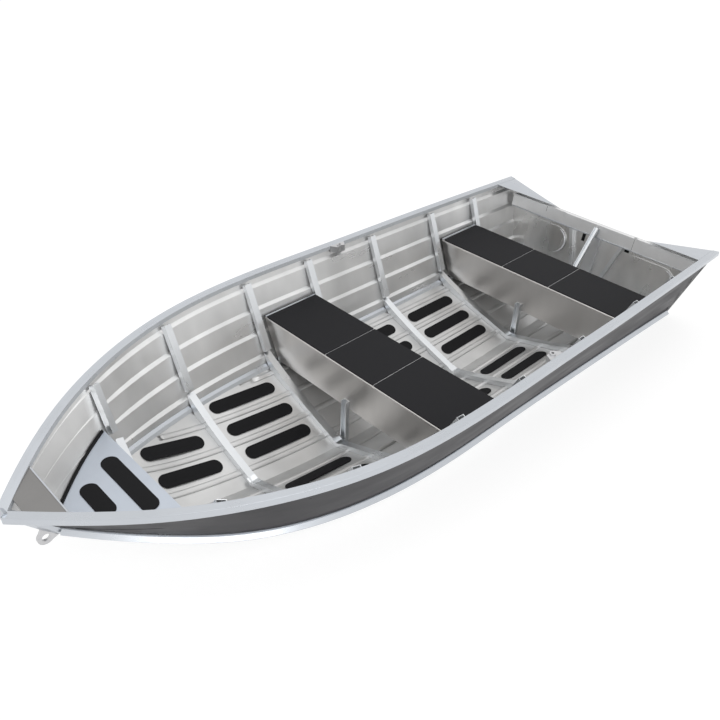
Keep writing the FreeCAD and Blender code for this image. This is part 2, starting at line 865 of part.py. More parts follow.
def breasthook():
    """A three-cornered plate that ties the gunwales together at the bow."""
    def edge(x):
        s = x / hull_length
        return sheer.value(s) + sheer_inboard(s) * (gunwale_top + joint_gap)

    points = [edge(hook_rear), edge((hook_rear + hook_front) / 2), edge(hook_front)]
    level = min(p.z for p in points) - hook_drop
    port = [Vector(p.x, max(p.y, hook_wall), level) for p in points]
    starboard = [Vector(p.x, -p.y, p.z) for p in reversed(port)]
    outline = port + starboard
    plate = prism(outline, UP * -hook_wall)
    rear = port[0]
    back = rear - AHEAD * hook_wall
    lip = prism([rear, back, back - UP * hook_lip, rear - UP * hook_lip], PORT * (-rear.y * 2))
    return plate.fuse(lip)


def bow_eye():
    """A towing ring with a widening root, welded to the front of the stem."""
    curve = stem_curve()
    low, high = 0.0, 1.0
    for i in range(search_steps):
        middle = (low + high) / 2
        if stem_spot(curve, middle)[0].z < stern_freeboard - eye_drop:
            low = middle
        else:
            high = middle
    point, along, out = stem_spot(curve, low)
    centre = point + out * (stem_nose + eye_reach)
    start = centre - PORT * (eye_thickness / 2)
    ring = Part.makeCylinder(eye_radius, eye_thickness, start, PORT)
    neck = along * eye_radius
    back = start - out * eye_reach
    root = prism([start + neck, start - neck, back - neck * eye_weld_share, back + neck * eye_weld_share],
                 PORT * eye_thickness)
    hole = Part.makeCylinder(eye_hole_radius, eye_thickness + cut_overrun * 2,
                             start - PORT * cut_overrun, PORT)
    return ring.fuse(root).cut(hole)


def transom_plane(y, drop, inward=0.0):
    """A point on the raked transom's outer face, at a breadth and a depth below the sheer."""
    return place(drop * transom_rake, y, -drop) + transom_inward() * inward


def transom_inward():
    return unit(Vector(1, 0, transom_rake))


def transom_prism(points, thickness, inward=0.0):
    return prism([transom_plane(y, drop, inward) for y, drop in points], transom_inward() * thickness)


def transom_edge():
    """Breadths and depths of the transom's outline, port side, top to keel.

    The side is straight and stands out far enough to cover the ends of the planks.
    """
    top = side_outline(0.0)[0]
    corner = chine.value(0.0)
    foot = keel.value(0.0)
    return [(top.y + transom_rim, stern_freeboard - top.z),
            (corner.y + transom_rim, stern_freeboard - corner.z),
            (0.0, stern_freeboard - foot.z)]


def stadium(y, drop, length, height, inward, depth):
    """A rounded panel outline on the transom pushed inboard."""
    r = height / 2
    half = length / 2 - r

    def at(a, b):
        return transom_plane(y + a, drop + b, inward)

    outline = Part.Wire([Part.makeLine(at(-half, -r), at(half, -r)),
                         Part.Arc(at(half, -r), at(half + r, 0), at(half, r)).toShape(),
                         Part.makeLine(at(half, r), at(-half, r)),
                         Part.Arc(at(-half, r), at(-half - r, 0), at(-half, -r)).toShape()])
    return Part.Face(outline).extrude(transom_inward() * depth)


def transom():
    """The raked stern plate with its dipped top edge and two pressed panels."""
    port = transom_edge()
    outline = [(0.0, transom_dip), (transom_flat_half, transom_dip)] + port
    outline += [(-y, d) for y, d in reversed(port[:-1])] + [(-transom_flat_half, transom_dip)]
    plate = transom_prism(outline, -transom_thickness, -joint_gap)
    base = -transom_thickness - joint_gap
    for side in (panel_place, -panel_place):
        raised = stadium(side, panel_drop, panel_length, panel_height, base, panel_press + transom_thickness)
        hollow = stadium(side, panel_drop, panel_length - transom_thickness * 2,
                         panel_height - transom_thickness * 2, base - cut_overrun, panel_press + cut_overrun)
        plate = plate.fuse(raised).cut(hollow)
    return plate


def transom_cap():
    """The hollow beam along the inside of the transom's top."""
    low = transom_dip + cap_height
    outer = transom_prism([(cap_half_length, transom_dip), (-cap_half_length, transom_dip),
                           (-cap_half_length, low), (cap_half_length, low)], cap_depth, joint_gap)
    return outer


def motor_pad():
    """The clamping plate on the outside of the transom."""
    top = transom_dip + motor_pad_top
    half = motor_pad_half
    low = top + motor_pad_height
    inward = -transom_thickness - joint_gap * 2
    return transom_prism([(half, top), (-half, top), (-half, low), (half, low)], -motor_pad_thickness, inward)


def quarter_knee():
    """The sloping corner plate from the gunwale down to the transom's top."""
    drop = UP * (gunwale_fall + joint_gap)
    aside = PORT * (gunwale_top + joint_gap * 4)
    inner = sheer.value(knee_reach / hull_length) - aside - drop
    corner = sheer.value(0.0) - aside - drop + AHEAD * knee_wall
    foot = transom_plane(transom_flat_half + knee_foot_inset, transom_dip - knee_wall * 2,
                         joint_gap * 2 + knee_wall)
    outline = [inner, corner, foot]
    normal = unit((corner - inner).cross(foot - inner))
    normal = normal if normal.z > 0 else normal * -1
    return prism(outline, normal * -knee_wall)


def transom_stiffeners():
    """The upright channel at the centre and a leaning one on either side."""
    low = transom_dip + cap_height + joint_gap * 2 + stiffener_depth * transom_rake
    foot = keel_drop * keel_depth_shares[0] - stiffener_foot_gap
    start = transom_plane(0.0, low, stiffener_depth + joint_gap)
    end = transom_plane(0.0, foot, stiffener_depth + joint_gap)
    back = transom_inward() * -1
    centre = channel(start + back * stiffener_depth, end + back * stiffener_depth, PORT, back,
                     stiffener_width, stiffener_depth, rib_wall)
    top = transom_plane(side_stiffener_place, low + joint_gap, joint_gap)
    bottom = transom_plane(side_stiffener_foot, foot - side_stiffener_rise, joint_gap)
    side = channel(top, bottom, PORT, back, side_stiffener_width, stiffener_depth, rib_wall)
    return Part.makeCompound([centre, side, mirrored(side)])


def transom_brace():
    """The slanting bar from the transom's top down to the keel line."""
    top = place(brace_top, 0, -transom_dip - brace_drop)
    s = brace_foot / hull_length
    floor = keel.value(s) + UP * (bottom_thickness + brace_depth)
    along = unit(floor - top)
    return channel(top, floor, PORT, along.cross(PORT), brace_width, brace_depth, rib_wall)


def drain_centre():
    """Where the drain's axis meets the inner face of the transom."""
    return transom_plane(0.0, keel_drop * keel_depth_shares[0] - drain_rise, joint_gap)


def drain_fitting():
    """The threaded drain socket low on the transom."""
    return Part.makeCylinder(drain_radius, drain_length, drain_centre(), transom_inward()).cut(drain_hole())


def drain_hole():
    start = drain_centre() - transom_inward() * (transom_thickness + joint_gap + cut_overrun)
    reach = transom_thickness + joint_gap + drain_length + cut_overrun * 2
    return Part.makeCylinder(drain_bore_radius, reach, start, transom_inward())


def rowlock():
    """A socket block under the gunwale's inner edge, bored for the rowlock's pin."""
    s = rowlock_place / hull_length
    edge = sheer.value(s) + sheer_inboard(s) * (gunwale_top + joint_gap) - UP * gunwale_fall
    along = tangent(sheer, s)
    side = sheer_inboard(s)
    half = rowlock_length / 2
    short = half - rowlock_depth * rowlock_taper_share
    corners = [edge - along * half, edge + along * half, edge + along * short + side * rowlock_depth,
               edge - along * short + side * rowlock_depth]
    block = prism([c - UP * rowlock_height for c in corners], UP * rowlock_height)
    axis = edge + side * (rowlock_depth - rowlock_boss_radius * rowlock_boss_share)
    tall = rowlock_height + rowlock_boss_rise
    foot = axis - UP * rowlock_height
    boss = Part.makeCylinder(rowlock_boss_radius, tall, foot, UP)
    bore = Part.makeCylinder(rowlock_bore_radius, tall + cut_overrun * 2, foot - UP * cut_overrun, UP)
    return block.fuse(boss).cut(bore)


def write(name, shape):
    shape.exportStep("parts/" + name + ".step")
    print(name, round(shape.Volume / 1000), "cm3", shape.isValid(), len(shape.Solids), "solids",
          len(shape.Faces), "faces")


def both(name, shape):
    write(name + "_port", shape)
    write(name + "_starboard", mirrored(shape))


def main():
    os.makedirs("parts", exist_ok=True)
    sides = side_sheet()
    both("side_sheet", sides)
    bottoms = bottom_sheet()
    both("bottom_sheet", bottoms)
    rails = gunwale()
    both("gunwale", rails)
    corners = largest(chine_bar().cut([sides, bottoms]))
    both("chine", corners)
    both("chine_bead", chine_inner_bead())
    bar = largest(keel_bar().cut([bottoms, mirrored(bottoms)]))
    write("keel", bar)
    halves = [sides, bottoms, rails, corners]
    stem = largest(stem_bar().cut([bar] + halves + [mirrored(half) for half in halves]))
    write("stem", stem)
    for number, x in enumerate(rib_places, 1):
        write("floor_rib_%d" % number, floor_rib(x))
        rib = side_rib(x)
        write("side_ribs_%d" % number, Part.makeCompound([rib, mirrored(rib)]))
    for index, name in enumerate(("forward", "aft")):
        seat, top_half, foot_half = thwart(index)
        write(name + "_thwart", seat)
        write(name + "_thwart_mats", thwart_mats(index))
        bracket = thwart_brackets(index, top_half, foot_half)
        write(name + "_thwart_brackets", Part.makeCompound([bracket, mirrored(bracket)]))
        write(name + "_thwart_post", thwart_post(index))
    write("floor_pads", floor_pads())
    write("bow_tray", bow_tray())
    write("bow_tray_brackets", tray_brackets())
    write("bow_tray_pads", tray_pads())
    write("breasthook", breasthook())
    write("bow_eye", largest(bow_eye().cut(stem)))
    write("transom", transom().cut([rails, mirrored(rails), drain_hole()]))
    write("transom_cap", transom_cap())
    write("motor_pad", motor_pad())
    both("quarter_knee", quarter_knee())
    write("transom_stiffeners", transom_stiffeners())
    write("transom_brace", transom_brace())
    write("drain_fitting", drain_fitting())
    both("rowlock_socket", rowlock())


main()
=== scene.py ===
import json
import math
import bpy
import bmesh
from mathutils import Matrix, Vector
from mathutils.bvhtree import BVHTree


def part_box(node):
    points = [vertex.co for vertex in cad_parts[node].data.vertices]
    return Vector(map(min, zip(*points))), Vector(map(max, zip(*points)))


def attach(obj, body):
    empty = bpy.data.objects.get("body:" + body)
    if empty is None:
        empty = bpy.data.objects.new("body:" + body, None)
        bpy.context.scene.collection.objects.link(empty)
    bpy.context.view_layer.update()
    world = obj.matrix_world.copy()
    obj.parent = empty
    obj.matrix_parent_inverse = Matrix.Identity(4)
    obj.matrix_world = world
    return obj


# Rowing boat: finishes, small details, floor, light and camera. Metres, degrees and watts.
# The x axis runs to the bow, y to port and z up, with the waterline at zero.

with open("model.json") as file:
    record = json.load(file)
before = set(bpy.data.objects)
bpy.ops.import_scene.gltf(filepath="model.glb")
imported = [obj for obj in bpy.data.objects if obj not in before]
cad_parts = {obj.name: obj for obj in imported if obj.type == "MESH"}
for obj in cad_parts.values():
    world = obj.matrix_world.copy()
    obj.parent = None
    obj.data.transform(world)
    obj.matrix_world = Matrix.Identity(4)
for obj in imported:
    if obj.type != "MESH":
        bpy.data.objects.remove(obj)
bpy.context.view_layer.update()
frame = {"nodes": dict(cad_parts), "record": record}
nodes = frame["nodes"]

# Camera, fitted to the photograph
camera_place = (2.23436, 1.92334, 2.33861)
camera_azimuth = 44.104
camera_elevation = 34.871
camera_roll = 2.436
camera_reach = 200.0
focal_px = 740.018
centre_px = (361.673, 346.753)
frame_px = 720.0
sensor_mm = 36.0

# Lamps: name, place, target, size and power
softboxes = (
    ("top_softbox", (0.3, -0.6, 4.2), (0.0, 0.0, 0.0), (5.0, 3.0), 22.0),
    ("near_softbox", (1.5, 4.5, 3.0), (0.0, 0.0, 0.3), (4.0, 2.0), 14.0),
    ("plank_softbox", (1.3, 1.5, 1.5), (0.6, -0.65, 0.3), (1.2, 0.8), 6.0),
)
sky_grey = 0.84
sky_strength = 0.95
seen_sky_strength = 1.0

# Floor at the waterline
floor_reach = 30.0
floor_white = 0.80
floor_seen_white = 0.30
floor_glow = 0.80
floor_roughness = 0.9
water_stations = 60
water_step = 0.002
water_limit = 0.7
sheet_middle = 0.0015
first_station_inset = 0.03
far_astern = -5.0
row_points = 4
below_hull = -1.0
above_hull = 0.5

# Metals. Cloud and grain are the scales of the large and small patterns, with their stretches on each axis
mill_grey = (0.90, 0.90, 0.895)
rail_grey = (0.56, 0.585, 0.62)
# Painted light: pale grey of the rails' inboard faces and the gunwales' lips, with little or no metallic
# shine
painted_light_rail_inboard_grey = (0.54, 0.56, 0.585)
# Painted shade: dark grey of the sides' outer faces
painted_shade_outside_grey = (0.066, 0.065, 0.069)
sheet_shine = 0.72
sheet_pattern = {
    "spread": 0.30, "grain": 14.0, "stretch": (0.2, 1, 1), "metallic": sheet_shine,
    "cloud": 3.2, "cloud_stretch": (1, 1, 0.35),
}
rail_pattern = {"spread": 0.04, "grain": 8.0}
metals = {
    "hull_sheet": {"colour": mill_grey, "roughness": 0.34, **sheet_pattern},
    "bottom_sheet": {"colour": (0.74, 0.74, 0.735), "roughness": 0.36, **sheet_pattern},
    "extrusion": {"colour": rail_grey, "roughness": 0.30, **rail_pattern},
    # Painted light: an almost non-metallic copy of the rail, so that the lips' inner faces show paler
    "gunwale_lip_painted_light": {"colour": painted_light_rail_inboard_grey, "roughness": 0.4, "metallic": 0.1, **rail_pattern},
    "panel_bead": {"colour": (0.86, 0.88, 0.91), "roughness": 0.3, "metallic": 0.4, **rail_pattern},
    "rib": {"colour": (0.80, 0.82, 0.84), "roughness": 0.32, "spread": 0.06, "grain": 10.0},
    "seat_sheet": {
        "colour": (0.70, 0.68, 0.66), "roughness": 0.34, "spread": 0.24, "grain": 3.0,
        "stretch": (1, 1, 0.1), "cloud": 3.0, "cloud_stretch": (1, 1, 0.2),
    },
    "tray_plate": {"colour": (0.52, 0.56, 0.62), "roughness": 0.42, "spread": 0.04, "grain": 12.0},
    "fitting": {"colour": (0.62, 0.62, 0.63), "roughness": 0.42, "spread": 0.12, "grain": 160.0, "bump": 0.2},
    "transom": {
        "colour": mill_grey, "roughness": 0.30, "spread": 0.42, "grain": 6.0,
        "stretch": (1, 1, 0.4), "cloud": 4.0, "cloud_stretch": (1, 1, 0.5),
    },
    "transom_beam": {
        "colour": (0.80, 0.805, 0.81), "roughness": 0.38, "spread": 0.08, "grain": 220.0,
        "stretch": (1, 0.04, 1), "bump": 0.25,
    },
    "breasthook": {"colour": (0.27, 0.265, 0.26), "roughness": 0.4, "spread": 0.10, "grain": 20.0},
}
plain_cloud = 5.0
smoothest = 0.8
roughest = 1.25
metal_relief = 0.001

# Painted shade on the sides' steep outer faces, darker and duller, and painted light on the rails' steep
# inboard faces, paler and less metallic
side_facing = 0.2
outside_steepness = 0.2
inboard_steepness = 0.5
outside_painted_shade_dulling = 0.66
inboard_painted_light_dulling = 1.0

# Rubber of the mats and pads
rubbers = {
    "seat_mat": {"colour": (0.008, 0.008, 0.010), "roughness": 0.62, "grain": 900.0},
    "floor_pad": {"colour": (0.005, 0.005, 0.006), "roughness": 0.7, "grain": 700.0},
}
rubber_specular = 0.2
rubber_bump = 0.4
rubber_relief = 0.0008

# Patterns
noise_detail = 3.0
ramp_start = 0.3
ramp_end = 0.7

# Faces joined, drawn back so that neighbours a hair apart don't show through, and rounded at their edges
sheet_trim = 0.0005
sheet_merge = 0.0015
point_merge = 0.00001
rib_radius = 0.0022
edge_radius = 0.0018
edge_segments = 3
crease_angle = 30.0

# Faces with more corners than these are the flat ends of a solid
wall_corners = 4

# Pressed ridges in the bottom, with their front ends measured from the stern
stern = Vector((-1.875, 0.0, 0.458))
ridge_places = (0.076, 0.210, 0.344, 0.478)
ridge_ends = (3.300, 3.175, 2.995, 2.460)
ridge_start = 0.09
ridge_half = 0.0155
ridge_rise = 0.0075
ridge_root = 0.009
ridge_step = 0.045
ridge_side = 0.022
ridge_end_angles = (5, 35, 60, 85)
least_swell = 0.01
arch_points = 7

# Transom: run of the rake for each metre of drop, then slabs on its inner face
# Each slab is given by its breadths, drops below the sheer and depths inboard, each from and to
rake_slope = 0.178082
lap_plates = (
    (-0.372, -0.238, 0.086, 0.124, 0.036, 0.0415),
    (0.252, 0.640, 0.0865, 0.1655, 0.036, 0.0420),
    (0.246, 0.262, 0.078, 0.094, 0.024, 0.0440),
)
beam_seams = (
    (-0.3745, -0.372, 0.087, 0.124, 0.036, 0.0405),
    (0.2495, 0.252, 0.094, 0.1640, 0.036, 0.0400),
)
lower_flange = (-0.630, 0.630, 0.1640, 0.1675, 0.020, 0.0455)
# Painted shade: black slabs in the slots below the beam
stiffener_slot_shades = (
    (-0.098, -0.078, 0.168, 0.228, 0.001, 0.0030),
    (0.196, 0.226, 0.172, 0.196, 0.001, 0.0030),
)

# Beads round the ends of the transom's panels
bead_places = (-0.2815, 0.4625)
bead_drop = 0.285
bead_arc_radius = 0.080
bead_swing = 75
bead_depth = 0.0085
bead_half = 0.0055
bead_steps = 16
bead_sides = 8
bead_end_share = 0.15

# Inner faces of the gunwales' lips
lip_stations = 90
lip_end = 0.012
lip_front = 0.075
lip_scan_step = 0.001
lip_top_spot = 2
lip_fold = 0.008
lip_cover = 0.0012
lip_overhang = 0.0005
lip_root = 0.001

# Lip on the plate in the bow
hook_side = 0.004
hook_rear = 0.001
hook_sink = 0.002
hook_lip_width = 0.005
hook_lip_taper = 0.006
hook_lip_height = 0.004

# Black strip of painted shade in the gap between the bow tray and the planks
tray_shade_stations = 24
tray_shade_rear = 0.004
tray_shade_shortfall = 0.012
tray_shade_sink = 0.002
tray_shade_search = 0.4
tray_shade_inner = 0.006
tray_shade_outer = 0.0095
tray_shade_half = 0.006

# Ends of the seats, as inner and outer offsets from the seat's side and the top above the seat
end_strip = (-0.008, 0.002, 0.0058)
# Painted shade: the black bar that fills the gap at each seat's end
end_shade_bar = (0.0025, 0.014, -0.001)
end_inset = 0.004
end_root = 0.004

# Gaps between the mats
seam_place = 0.158
seam_half = 0.0012
seam_root = 0.001
seam_shortfall = 0.0003

# Colour sockets of the mix node, and shader sockets of the mix shader
mix_first = 6
mix_second = 7
mix_result = 2
shader_first = 1
shader_second = 2


def new_material(name):
    """A new material with its node tree and its shader."""
    material = bpy.data.materials.new(name)
    material.use_nodes = True
    tree = material.node_tree
    return material, tree, tree.nodes["Principled BSDF"]


def math_node(tree, operation, first, second):
    """A math node whose inputs are sockets or plain numbers."""
    node = tree.nodes.new("ShaderNodeMath")
    node.operation = operation
    for socket, value in zip(node.inputs, (first, second)):
        if isinstance(value, (int, float)):
            socket.default_value = value
        else:
            tree.links.new(value, socket)
    return node.outputs[0]


def stretched_noise(tree, stretch, scale):
    """Noise in the boat's frame, stretched by a factor on each axis."""
    place = tree.nodes.new("ShaderNodeTexCoord")
    mapping = tree.nodes.new("ShaderNodeMapping")
    mapping.inputs["Scale"].default_value = stretch
    noise = tree.nodes.new("ShaderNodeTexNoise")
    noise.inputs["Scale"].default_value = scale
    noise.inputs["Detail"].default_value = noise_detail
    tree.links.new(place.outputs["Object"], mapping.inputs["Vector"])
    tree.links.new(mapping.outputs["Vector"], noise.inputs["Vector"])
    return noise.outputs["Fac"]


def ramp(tree, source, low, high, start=ramp_start, end=ramp_end):
    """Maps a value between start and end to colours or greys from low to high."""
    node = tree.nodes.new("ShaderNodeValToRGB")
    for element, position, colour in zip(node.color_ramp.elements, (start, end), (low, high)):
        element.position = position
        element.color = (*colour, 1)
    tree.links.new(source, node.inputs["Fac"])
    return node.outputs["Color"]


def grey(value):
    return (value, value, value)


def add_relief(tree, shader, height, strength, distance):
    """Bumps the shader's surface by a pattern."""
    relief = tree.nodes.new("ShaderNodeBump")
    relief.inputs["Strength"].default_value = strength
    relief.inputs["Distance"].default_value = distance
    tree.links.new(height, relief.inputs["Height"])
    tree.links.new(relief.outputs["Normal"], shader.inputs["Normal"])


def metal(name, colour, roughness, spread, grain, stretch=(1, 1, 1), bump=0.0, metallic=1.0,
          cloud=plain_cloud, cloud_stretch=(1, 1, 1)):
    """Bare aluminium with soft clouds, a directional grain and a little relief."""
    material, tree, shader = new_material(name)
    clouds = stretched_noise(tree, cloud_stretch, cloud)
    lines = stretched_noise(tree, stretch, grain)
    shader.inputs["Metallic"].default_value = metallic
    low = tuple(c * (1 - spread) for c in colour)
    tree.links.new(ramp(tree, clouds, low, colour), shader.inputs["Base Color"])
    sheen = ramp(tree, lines, grey(roughness * smoothest), grey(roughness * roughest))
    tree.links.new(sheen, shader.inputs["Roughness"])
    if bump:
        add_relief(tree, shader, lines, bump, metal_relief)
    return material


def facing_parts(tree):
    """How much a face looks away from the boat's middle plane, and how much it looks up."""
    geometry = tree.nodes.new("ShaderNodeNewGeometry")
    place = tree.nodes.new("ShaderNodeSeparateXYZ")
    facing = tree.nodes.new("ShaderNodeSeparateXYZ")
    tree.links.new(geometry.outputs["Position"], place.inputs["Vector"])
    tree.links.new(geometry.outputs["True Normal"], facing.inputs["Vector"])
    side = math_node(tree, "SIGN", place.outputs["Y"], 0.0)
    return math_node(tree, "MULTIPLY", side, facing.outputs["Y"]), facing.outputs["Z"]


def paint_light_and_shade_by_facing(material, sense, steepness, colour, shine, dulling, sockets):
    """Paints light and shade by facing: recolours and dulls the steep faces that look outboard, or inboard
    where sense is -1.
    """
    tree = material.node_tree
    shader = tree.nodes["Principled BSDF"]
    plain = shader.inputs["Base Color"].links[0].from_socket
    outward, upward = facing_parts(tree)
    facing = math_node(tree, "GREATER_THAN", math_node(tree, "MULTIPLY", outward, sense), side_facing)
    steep = math_node(tree, "LESS_THAN", upward, steepness)
    mask = math_node(tree, "MULTIPLY", facing, steep)
    mix = tree.nodes.new("ShaderNodeMix")
    mix.data_type = "RGBA"
    tree.links.new(mask, mix.inputs["Factor"])
    tree.links.new(plain, mix.inputs[mix_first])
    mix.inputs[mix_second].default_value = (*colour, 1)
    tree.links.new(mix.outputs[mix_result], shader.inputs["Base Color"])
    dulled = math_node(tree, "SUBTRACT", shine, math_node(tree, "MULTIPLY", mask, dulling))
    for socket in sockets:
        tree.links.new(dulled, shader.inputs[socket])


def rubber(name, colour, roughness, grain):
    """Matt dark rubber with a fine grain."""
    material, tree, shader = new_material(name)
    shader.inputs["Base Color"].default_value = (*colour, 1)
    shader.inputs["Roughness"].default_value = roughness
    shader.inputs["Specular IOR Level"].default_value = rubber_specular
    add_relief(tree, shader, stretched_noise(tree, (1, 1, 1), grain), rubber_bump, rubber_relief)
    return material


finishes = {key: metal(f"{key}_finish", **values) for key, values in metals.items()}
finishes.update({key: rubber(f"{key}_finish", **values) for key, values in rubbers.items()})
# Painted shade: the sides' steep outer faces turn dark grey and lose most of their shine
paint_light_and_shade_by_facing(finishes["hull_sheet"], 1, outside_steepness, painted_shade_outside_grey, sheet_shine, outside_painted_shade_dulling,
           ("Metallic", "Specular IOR Level"))
# Painted light: the rails' steep inboard faces turn non-metallic so that they show paler
paint_light_and_shade_by_facing(finishes["extrusion"], -1, inboard_steepness, painted_light_rail_inboard_grey, 1.0, inboard_painted_light_dulling, ("Metallic",))

slot_of = {entry["node"]: entry["material_slot"] for entry in frame["record"]["subparts"]}
own_finish = {
    "bottom_sheet_port": "bottom_sheet",
    "bottom_sheet_starboard": "bottom_sheet",
    "transom": "transom",
    "transom_cap": "transom_beam",
    "breasthook": "breasthook",
}


def paint(obj, finish):
    """Gives a piece one finish by its name."""
    obj.data.materials.clear()
    obj.data.materials.append(finishes[finish])


for node_name, node in nodes.items():
    paint(node, own_finish.get(node_name, slot_of[node_name]))

treatments = (
    (("side_sheet",), {"merge": sheet_merge, "trim": sheet_trim}),
    (("floor_rib", "side_ribs"), {"radius": rib_radius}),
    (("gunwale",), {"merge": sheet_merge, "radius": edge_radius}),
    (("quarter_knee", "transom_brace", "transom_cap"), {"radius": edge_radius}),
    (("bottom_sheet", "chine"), {"merge": sheet_merge}),
)


def refine(node, merge=point_merge, trim=0.0, radius=0.0):
    """Joins a CAD node's faces, then draws them back or rounds their edges, with even shading."""
    joined = node.modifiers.new("joined_faces", "WELD")
    joined.merge_threshold = merge
    if trim:
        drawn = node.modifiers.new("drawn_back", "DISPLACE")
        drawn.mid_level = 0.0
        drawn.strength = -trim
    if radius:
        bevel = node.modifiers.new("edge_radius", "BEVEL")
        bevel.width = radius
        bevel.segments = edge_segments
        bevel.limit_method = "ANGLE"
        bevel.angle_limit = math.radians(crease_angle)
    split = node.modifiers.new("creases", "EDGE_SPLIT")
    split.split_angle = math.radians(crease_angle)
    even = node.modifiers.new("even_shading", "WEIGHTED_NORMAL")
    even.mode = "FACE_AREA"
    even.keep_sharp = True


for starts, treatment in treatments:
    for node_name, node in nodes.items():
        if node_name.startswith(starts):
            refine(node, **treatment)


def tree_of(node_name):
    """Search tree of a CAD node's faces in the boat's frame."""
    node = nodes[node_name]
    points = [node.matrix_world @ v.co for v in node.data.vertices]
    return BVHTree.FromPolygons(points, [tuple(p.vertices) for p in node.data.polygons])


def mesh_object(name, points, faces):
    """A new object in the scene from points and faces."""
    mesh = bpy.data.meshes.new(name)
    mesh.from_pydata(points, [], faces)
    mesh.validate()
    obj = bpy.data.objects.new(name, mesh)
    bpy.context.scene.collection.objects.link(obj)
    return obj


def water_half_breadth(bottom, x):
    """Half breadth of the hull in the water's surface at one place along the boat."""
    found = 0.0
    y = water_step
    while y < water_limit:
        hit = bottom.ray_cast(Vector((x, y, below_hull)), Vector((0, 0, 1)))[0]
        if hit is None:
            break
        if hit.z < -sheet_middle:
            found = y
        y += water_step
    return found


def water_rows():
    """Stations of the boat's outline in the water, each with its half breadth."""
    bottom = tree_of("bottom_sheet_port")
    rear = tree_of("transom").ray_cast(Vector((far_astern, 0.0, 0.0)), Vector((1, 0, 0)))[0].x + sheet_middle
    low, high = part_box("bottom_sheet_port")
    rows = []
    for i in range(water_stations):
        x = rear + (high[0] - rear) * i / water_stations
        half = water_half_breadth(bottom, max(x, low[0] + first_station_inset))
        if half == 0.0:
            break
        rows.append((x, half))
    tip = rows[-1][0] + (high[0] - rear) / water_stations
    return rows + [(tip, water_step / 2)]


def seen_rays(tree):
    """One for what the camera, a mirror or glass shows, nought for light that falls on things."""
    rays = tree.nodes.new("ShaderNodeLightPath")
    glossy, transmitted = rays.outputs["Is Glossy Ray"], rays.outputs["Is Transmission Ray"]
    indirect = math_node(tree, "MAXIMUM", glossy, transmitted)
    return math_node(tree, "MAXIMUM", rays.outputs["Is Camera Ray"], indirect)


def water_floor():
    """The floor lies at the waterline, with the boat's outline left out."""
    rows = water_rows()
    rows = [(-floor_reach, rows[0][1]), *rows, (floor_reach, water_step / 2)]
    points = [(x, y, 0.0) for x, half in rows for y in (-floor_reach, -half, half, floor_reach)]
    last = len(rows) - 2
    faces = []
    for i in range(last + 1):
        near = row_points * i
        far = near + row_points
        for j in (0, 1, 2) if i in (0, last) else (0, 2):
            faces.append((near + j, far + j, far + j + 1, near + j + 1))
    floor = mesh_object("studio_floor", points, faces)
    material, tree, shader = new_material("floor_finish")
    seen = seen_rays(tree)
    shade = ramp(tree, seen, grey(floor_white), grey(floor_seen_white), 0.0, 1.0)
    tree.links.new(shade, shader.inputs["Base Color"])
    shader.inputs["Roughness"].default_value = floor_roughness
    shader.inputs["Specular IOR Level"].default_value = 0.0
    shader.inputs["Emission Color"].default_value = (1, 1, 1, 1)
    tree.links.new(math_node(tree, "MULTIPLY", seen, floor_glow), shader.inputs["Emission Strength"])
    floor.data.materials.append(material)
    return floor


def area_light(name, place, target, size, power):
    """A rectangular lamp that points at a target."""
    data = bpy.data.lights.new(name, "AREA")
    data.shape = "RECTANGLE"
    data.size, data.size_y = size
    data.energy = power
    lamp = bpy.data.objects.new(name, data)
    bpy.context.scene.collection.objects.link(lamp)
    lamp.location = place
    lamp.rotation_euler = (Vector(target) - Vector(place)).to_track_quat("-Z", "Y").to_euler()


def studio_world():
    """Soft grey surroundings that the camera and mirrors see as white."""
    world = bpy.data.worlds.new("studio_world")
    bpy.context.scene.world = world
    world.use_nodes = True
    tree = world.node_tree
    tree.nodes.clear()
    output = tree.nodes.new("ShaderNodeOutputWorld")
    mix = tree.nodes.new("ShaderNodeMixShader")
    tree.links.new(seen_rays(tree), mix.inputs["Fac"])
    skies = ((shader_first, sky_grey, sky_strength), (shader_second, 1.0, seen_sky_strength))
    for socket, value, strength in skies:
        sky = tree.nodes.new("ShaderNodeBackground")
        sky.inputs["Color"].default_value = (*grey(value), 1)
        sky.inputs["Strength"].default_value = strength
        tree.links.new(sky.outputs["Background"], mix.inputs[socket])
    tree.links.new(mix.outputs["Shader"], output.inputs["Surface"])


def photo_camera():
    """The photograph's camera."""
    azimuth = math.radians(camera_azimuth)
    elevation = math.radians(camera_elevation)
    roll = math.radians(camera_roll)
    ahead = Vector((-math.cos(elevation) * math.cos(azimuth), -math.cos(elevation) * math.sin(azimuth),
                    -math.sin(elevation)))
    right = ahead.cross(Vector((0, 0, 1))).normalized()
    up = right.cross(ahead)
    turned_right = right * math.cos(roll) + up * math.sin(roll)
    turned_up = up * math.cos(roll) - right * math.sin(roll)
    data = bpy.data.cameras.new("photo_camera")
    data.sensor_width = sensor_mm
    data.lens = focal_px * sensor_mm / frame_px
    data.shift_x = (frame_px / 2 - centre_px[0]) / frame_px
    data.shift_y = (centre_px[1] - frame_px / 2) / frame_px
    data.clip_end = camera_reach
    camera = bpy.data.objects.new("photo_camera", data)
    turn = Matrix((turned_right, turned_up, -ahead)).transposed()
    camera.matrix_world = Matrix.Translation(Vector(camera_place)) @ turn.to_4x4()
    bpy.context.scene.collection.objects.link(camera)
    bpy.context.scene.camera = camera


def loft(rings):
    """A closed solid through matching rings of points."""
    count = len(rings[0])
    points = [p for ring in rings for p in ring]
    faces = []
    for i in range(len(rings) - 1):
        for j in range(count):
            k = (j + 1) % count
            faces.append((i * count + j, i * count + k, (i + 1) * count + k, (i + 1) * count + j))
    faces.append(tuple(range(count)))
    faces.append(tuple(range((len(rings) - 1) * count, len(rings) * count)))
    return points, faces


def slab(corners, along):
    """A flat outline pushed along a vector."""
    return loft([corners, [c + along for c in corners]])


